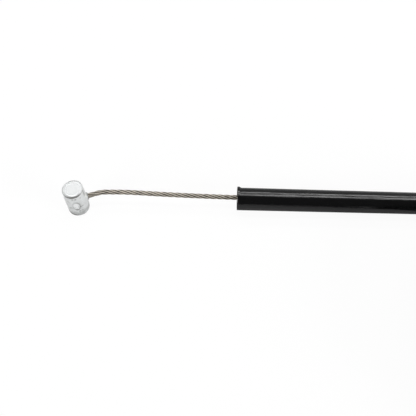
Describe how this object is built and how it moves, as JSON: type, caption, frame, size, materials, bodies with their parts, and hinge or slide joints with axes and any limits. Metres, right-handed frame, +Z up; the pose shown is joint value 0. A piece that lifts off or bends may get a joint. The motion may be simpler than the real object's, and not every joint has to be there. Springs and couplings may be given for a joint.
{
  "type": "reverse lockout cable",
  "caption": "Stranded inner wire with a cast barrel nipple at each end, sliding in a black vinyl conduit that ends in a threaded adjuster with lock nuts.",
  "frame": {"origin": "centre of the near barrel nipple's lower end face, on the surface that the cable lies on", "axes": "+Z up along the near barrel nipple, +X along the near stretch of conduit, away from that nipple"},
  "size_m": [0.1965, 0.0936, 0.0153],
  "materials": {
    "zinc_casting": "pale as-cast zinc, satin, with small pits",
    "wire_steel": "stranded steel wire, warm grey",
    "conduit_vinyl": "black vinyl, satin to gloss",
    "winding_steel": "spring steel",
    "liner_nylon": "natural plastic, matt",
    "plated_steel": "zinc plated steel, turned",
    "tie_nylon": "black moulded nylon"
  },
  "bodies": {
    "conduit": {"near_conduit_jacket": "conduit_vinyl", "near_conduit_winding": "winding_steel", "near_conduit_liner": "liner_nylon", "conduit_coil": "conduit_vinyl", "coil_tie_1": "tie_nylon", "coil_tie_2": "tie_nylon", "conduit_tail": "conduit_vinyl", "far_adjuster": "plated_steel"},
    "near_wire": {"near_barrel_nipple": "zinc_casting", "near_wire_core_strand": "wire_steel", "near_wire_strand_1": "wire_steel", "near_wire_strand_2": "wire_steel", "near_wire_strand_3": "wire_steel", "near_wire_strand_4": "wire_steel", "near_wire_strand_5": "wire_steel", "near_wire_strand_6": "wire_steel"},
    "far_wire": {"far_barrel_nipple": "zinc_casting", "far_wire_core_strand": "wire_steel", "far_wire_strand_1": "wire_steel", "far_wire_strand_2": "wire_steel", "far_wire_strand_3": "wire_steel", "far_wire_strand_4": "wire_steel", "far_wire_strand_5": "wire_steel", "far_wire_strand_6": "wire_steel"},
    "lock_nut_1": {"far_lock_nut_1": "plated_steel"},
    "lock_nut_2": {"far_lock_nut_2": "plated_steel"}
  },
  "joints": [
    {"name": "near_wire_slide", "type": "slide", "parent": "conduit", "child": "near_wire", "axis": [-1, 0, 0], "range_m": [0, 0.02]},
    {"name": "far_wire_slide", "type": "slide", "parent": "conduit", "child": "far_wire", "axis": [1, 0, 0], "range_m": [0, 0.02]},
    {"name": "lock_nut_1_turn", "type": "hinge", "parent": "conduit", "child": "lock_nut_1", "pos_m": [0.0625, -0.0818, 0.0055], "axis": [1, 0, 0], "continuous": true},
    {"name": "lock_nut_2_turn", "type": "hinge", "parent": "conduit", "child": "lock_nut_2", "pos_m": [0.0515, -0.0818, 0.0055], "axis": [1, 0, 0], "continuous": true}
  ],
  "couplings": [
    {"joint": "far_wire_slide", "follows": "near_wire_slide", "ratio": 1}
  ]
}
